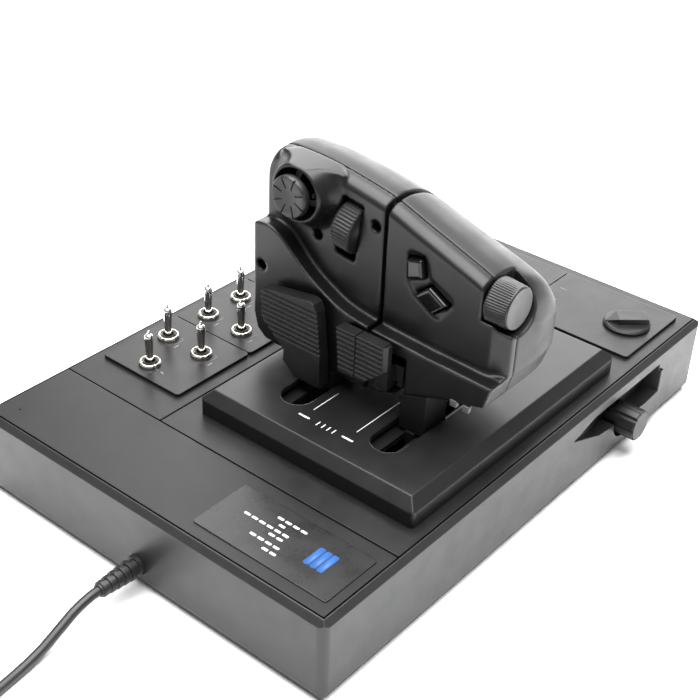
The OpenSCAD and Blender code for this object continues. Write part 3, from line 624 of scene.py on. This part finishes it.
def make_grips():
    """One soft block, cut at the split and the seam, each piece with the rooms it needs."""
    skirt = spline(RIDGE, 4) + GRIP_LOW
    whole = grip_block("grip_whole")
    chamfer = prism("corner", [(-89, 33.01), (-97.5, 28.75), (-110, 28), (-110, 45), (-89, 45)],
                    93, 165)
    notch = rod("notch", (0, *KNOB), NOTCH_R, -125, -83, "x", 64)
    above = block("above_notch", (-125, KNOB[0] - NOTCH_R, KNOB[1]), (-83, 60, 170))
    carve(whole, [prism("skirt", skirt, 28, SKIRT_Y, "y")], [chamfer])
    carve(whole, [], [notch])
    carve(whole, [], [above])
    for side in ("right", "left"):
        part = bpy.data.objects.new("grip_" + side, whole.data.copy())
        scene.collection.objects.link(part)
        if side == "right":
            cut = block("other_side", (-140, -60, 40), (SPLIT_X + 1, 80, 180))
        else:
            cut = block("other_side", (SPLIT_X - 1, -60, 40), (80, 80, 180))
        carve(part, [], [cut])
        if side == "right":
            collar = lathe("collar", [(0, 26), (17, 26), (21.5, 31), (20, 32.6), (17.9, 33.6),
                                  (16.2, 35.2), (14.9, 37.6), (14.1, 40.2), (13.6, 42.2),
                                  (13.2, 43.1), (12.7, 43.3), (12.2, 43), (0, 43)],
                           (STICK[0], 0, STICK[1]), "y", 72)
            limit = prism("limit", spline(GRIP_TOP, 4) + [(-97, 60), (35.5, 60)], 20, 50, "y")
            mod = collar.modifiers.new("keep", "BOOLEAN")
            mod.operation = "INTERSECT"
            mod.object = limit
            settle(collar)
            drop(limit)
            carve(part, [collar])
        for zone in ("shell", "face"):
            piece = bpy.data.objects.new("%s_grip_%s" % (side, zone), part.data.copy())
            scene.collection.objects.link(piece)
            if zone == "shell":
                cut = block("beyond_seam", (-140, SEAM_Y - 0.12, 40), (80, 80, 180))
            else:
                cut = block("beyond_seam", (-140, -60, 40), (80, SEAM_Y + 0.12, 180))
            carve(piece, [], [cut])
            for tool in grip_cuts(side, zone):
                carve(piece, [], [tool])
            soften(piece, 0.62, 3, 0.5)
            hand_in(piece, "grip" if zone == "shell" else "grip_face", "throttle_" + side,
                    "grip_plastic", "grip_%s_%s" % (side, zone))
        drop(part)
    drop(whole)


make_grips()


# ------------------------------------------------------------------ controls

def joined(name, parts):
    bm = bmesh.new()
    for o in parts:
        bm.from_mesh(o.data)
    bmesh.ops.scale(bm, vec=(1000, 1000, 1000), verts=bm.verts[:])
    out = to_object(bm, name)
    drop(*parts)
    return out


def ribbed(count, depth, low, high, least):
    """Fine ribs on the part of a turned skin between two heights."""
    def shape(a, r, h):
        if r < least or not low <= h <= high:
            return r
        return r - depth * (0.5 + 0.5 * math.cos(count * a)) ** 2
    return shape


TOGGLES = [(72.5, 73.9), (83.3, 51.4), (60.5, 51.4), (83.3, 23.5), (60.5, 23.5), (83.3, 0),
           (60.5, 0)]
PANEL_Z = 45.1


def make_toggles():
    nuts = []
    for i, (x, y) in enumerate(TOGGLES):
        turn = 0.4 + 0.9 * i

        def lugs(a, r, h):
            return r - (0.5 if r > 5.1 and math.cos(4 * (a + turn)) > 0.9 else 0)

        nuts.append(lathe("nut", [(5.4, 0), (5.4, 0.9), (5.25, 1.35), (4.95, 1.75), (4.6, 1.9),
                                  (4.25, 1.8), (4.0, 1.4), (3.85, 0.8), (3.04, 0.7),
                                  (3.04, 0)], (x, y, PANEL_Z), "z", 96, lugs, True))
        lever = lathe("lever_%d" % (i + 1), [
            (0, -6), (0.9, -6), (1.1, -2.4), (2.0, -1.2), (2.35, 0), (2.2, 1.2), (1.7, 2.1),
            (1.62, 3), (1.75, 7), (1.95, 11), (2.15, 14.6), (2.18, 15.8), (2.0, 16.7),
            (1.55, 17.3), (1.0, 17.6), (0.7, 17.8), (0.62, 18.9), (0.45, 19.5), (0, 19.8)],
            (x, y, 44.1), "z", 40)
        node = "toggle_lever_%d" % (i + 1)
        hand_in(lever, "lever", node, "bright_metal", node)
    hand_in(joined("toggle_rings", nuts), "chrome", "base", "bright_metal", "toggle_nuts")


def make_stick():
    x, z = STICK
    cap = lathe("thumb_cap", [
        (0, 27), (3.4, 27), (3.4, 43.2), (8.6, 43.4), (9.4, 43.9), (9.7, 44.7), (9.7, 46.4),
        (9.5, 47.2), (9.1, 47.7), (8.4, 47.8), (6.4, 47.5), (4.4, 47.25), (2.2, 47.05), (0, 47)],
        (x, 0, z), "y", 96)
    pin = rod("pin", (x, 30, 0), 1.3, z - 9, z + 9, "z", 24)
    carve(cap, [pin])
    for i in range(8):
        a = math.radians(22.5 + 45 * i)
        tool = block("groove", (4.0, 46.9, -0.38), (11, 49, 0.38))
        tool.matrix_world = (Matrix.Translation((x / 1000, 0, z / 1000))
                             @ Matrix.Rotation(a, 4, "Y"))
        carve(cap, [], [tool])
    round_edges(cap, 0.12, 2, 40)
    hand_in(cap, "control", "stick_cap", "control_plastic", "stick_cap")


def make_wheel():
    wheel = lathe("thumb_wheel", [(0, -8.4), (1.5, -8.4), (1.5, -5.1), (10.6, -5.1), (11.4, -4.9),
                                  (11.9, -4.3), (12, -3.6), (12, 3.6), (11.9, 4.3), (11.4, 4.9),
                                  (10.6, 5.1), (1.5, 5.1), (1.5, 8.4), (0, 8.4)],
                  (0, 0, 0), "x", 360, ribbed(45, 0.55, -4.5, 4.5, 10))
    wheel.data.transform(Matrix.Translation(Vector(WHEEL) / 1000)
                         @ Matrix.Rotation(math.radians(-8), 4, "Y"))
    hand_in(wheel, "control", "scroll_wheel", "control_plastic", "scroll_wheel")


def make_knob():
    knob = lathe("ribbed_knob", [
        (0, -73), (3, -73), (3, -83.4), (10.1, -83.5), (10.5, -83.9), (10.55, -84.6),
        (10.3, -88), (10.05, -91.5), (9.85, -93.6), (9.7, -94.2), (9.4, -94.7), (9.0, -94.9),
        (8.6, -94.8), (0, -94.75)],
        (0, *KNOB), "x", 432, ribbed(54, 0.42, -93.8, -84.2, 9.6))
    hand_in(knob, "knob", "grip_knob", "control_plastic", "grip_knob")


def make_buttons():
    for name, shape, stem, low in (("button_upper", UPPER, (-49.2, 127.6), 34.6),
                                   ("button_lower", LOWER, (-58.5, 116.5), 34.4)):
        bm = bmesh.new()
        rings = []
        for y, d in ((23, 0), (33.4, 0), (low, -0.4), (low + 0.4, -1.1)):
            rings.append([bm.verts.new((a, y, b)) for a, b in grown(shape, d)])
        for a, b in zip(rings, rings[1:]):
            for i in range(4):
                k = (i + 1) % 4
                bm.faces.new((a[i], a[k], b[k], b[i]))
        bm.faces.new(rings[0])
        bm.faces.new(rings[-1])
        top = to_object(bm, name + "_top")
        carve(top, [rod("stem", (stem[0], 0, stem[1]), 1.5, 17, 24, "y", 32)])
        round_edges(top, 0.45, 3, 20)
        hand_in(top, "gloss", name, "button_gloss", name)


def make_pads():
    edge = prism("pad_edge", [(-46.6, 49.8), (-48.3, 47.4), (-48.4, 44.6), (-46.6, 44.2)],
                 82.2, 94.6)
    round_edges(edge, 0.3, 3, 20)
    hand_in(edge, "control", "paddle_left", "control_plastic")
    tabs = [block("tab", (x, 39.2, 76.2), (x + 3.4, 41.6, 79.4)) for x in (-81, -87.4)]
    tab = joined("skirt_tabs", tabs)
    round_edges(tab, 0.4, 3, 20)
    hand_in(tab, "tab", "throttle_left", "grip_plastic")


make_toggles()
make_stick()
make_wheel()
make_knob()
make_buttons()
make_pads()


# ------------------------------------------------------------------ printed marks

PLINTH_MARK_Z, PLATE_MARK_Z, PANEL_MARK_Z = 56.01, 44.01, 45.11


def bar(a, b, width, z):
    """Flat printed stroke between two points, with rounded ends."""
    p, q = Vector(a), Vector(b)
    u = (q - p).normalized()
    v = Vector((-u.y, u.x))
    h = width / 2
    outline = []
    for centre, start in ((q, -90), (p, 90)):
        for i in range(5):
            t = math.radians(start + 45 * i)
            outline.append(tuple(centre + u * (h * 0.5 * math.cos(t)) + v * (h * math.sin(t))))
    return prism("stroke", outline, z, z + 0.05)


def print_marks(name, look, strokes, z, slot):
    obj = joined(name, [bar(a, b, w, z) for a, b, w in strokes])
    hand_in(obj, look, "base", slot)


def add_marks():
    print_marks("travel_marks", "print", [
        ((-19.4, 44.2), (-19.4, 61.2), 0.36), ((-44.1, 30.2), (-44.1, 61), 0.36),
        ((-16.6, 67.7), (-22.4, 67.7), 1.0), ((-41.4, 67.7), (-47.2, 67.7), 1.0),
        ((-27.6, 66.2), (-27.6, 69.2), 0.5), ((-30.6, 66.2), (-30.6, 69.2), 0.5),
        ((-33.6, 66.2), (-33.6, 69.2), 0.5), ((-36.6, 66.2), (-36.6, 69.2), 0.5)],
        PLINTH_MARK_Z, "deck_plastic")
    rows = ((115.7, -48, -64.4), (119, -51.5, -57), (122.5, -35.5, -63.2), (125.7, -52, -63.8),
            (130.4, -46, -64.2), (134, -55.8, -65))
    strokes = []
    for y, x0, x1 in rows:
        x = x0
        while x - 3.4 > x1:
            strokes.append(((x, y), (x - 2.6, y), 1.3))
            x -= 4.2
    print_marks("plate_marks", "print", strokes, PLATE_MARK_Z, "plate_film")
    print_marks("plate_badge", "blue", [((-74.5, 118.6), (-74.5, 129), 3.2),
                                        ((-78, 118.6), (-78, 129), 3.2),
                                        ((-81.5, 118.6), (-81.5, 129), 3.2)],
                PLATE_MARK_Z, "plate_film")
    strokes = [((69, 74.6), (65, 75.6), 0.3), ((63.6, 75.4), (61.4, 75.9), 0.9)]
    for x, y in TOGGLES[1:]:
        strokes += [((x - 7.4, y + 2.6), (x - 7.4, y - 3.2), 0.3),
                    ((x - 7.4, y - 3.2), (x - 5.8, y - 3.2), 0.3),
                    ((x - 9.2, y + 5), (x - 9.2, y + 2.2), 0.9)]
    for i in range(4):
        strokes.append(((-33, -88 - 12 * i), (-40 + i, -88 - 12 * i), 0.6))
    print_marks("panel_marks", "faint", strokes, PANEL_MARK_Z, "panel_plastic")


add_marks()


# ------------------------------------------------------------------ floor and light

def add_floor():
    mesh = bpy.data.meshes.new("floor")
    bm = bmesh.new()
    n, side = 24, 12
    rows = [[bm.verts.new(((i / n - 0.5) * side, (j / n - 0.5) * side, 0)) for i in range(n + 1)]
            for j in range(n + 1)]
    for j in range(n):
        for i in range(n):
            bm.faces.new((rows[j][i], rows[j][i + 1], rows[j + 1][i + 1], rows[j + 1][i]))
    bm.to_mesh(mesh)
    bm.free()
    floor = bpy.data.objects.new("floor", mesh)
    scene.collection.objects.link(floor)
    mat, tree, shader = new_material("paper_floor")
    tone = noise(tree, coords(tree), 6, 3)
    tree.links.new(mix(tree, spread(tree, tone, 0, 1), (0.93, 0.93, 0.93), (0.95, 0.95, 0.95)),
                   shader.inputs["Base Color"])
    put(shader, Roughness=0.9)
    shader.inputs["Specular IOR Level"].default_value = 0.1
    mesh.materials.append(mat)


add_floor()


def area_light(name, at, aim, width, height, power):
    data = bpy.data.lights.new(name, "AREA")
    data.shape = "RECTANGLE"
    data.size = width
    data.size_y = height
    data.energy = power
    obj = bpy.data.objects.new(name, data)
    scene.collection.objects.link(obj)
    obj.location = at
    obj.rotation_euler = (Vector(aim) - Vector(at)).to_track_quat("-Z", "Y").to_euler()
    obj.visible_camera = False
    return obj


def add_lights():
    """Dim even surround, a large box above and one low behind the right side."""
    world = bpy.data.worlds.new("studio")
    scene.world = world
    world.use_nodes = True
    tree = world.node_tree
    back = next(n for n in tree.nodes if n.type == "BACKGROUND")
    put(back, Strength=0.55)
    where = add(tree, "ShaderNodeTexCoord").outputs["Generated"]
    split = add(tree, "ShaderNodeSeparateXYZ")
    tree.links.new(where, split.inputs[0])
    ramp = add(tree, "ShaderNodeValToRGB")
    for element, (at, v) in zip(ramp.color_ramp.elements, ((0.02, 1.0), (0.3, 0.8))):
        element.position = at
        element.color = (v, v, v, 1)
    tree.links.new(split.outputs["Z"], ramp.inputs["Fac"])
    tree.links.new(ramp.outputs["Color"], back.inputs["Color"])
    area_light("top_box", (0.05, 0.0, 1.25), (0.05, 0.001, 0), 1.5, 1.3, 64)
    area_light("back_box", (0.68, -1.25, 0.62), (0, 0, 0.15), 1.5, 1.24, 27)


add_lights()
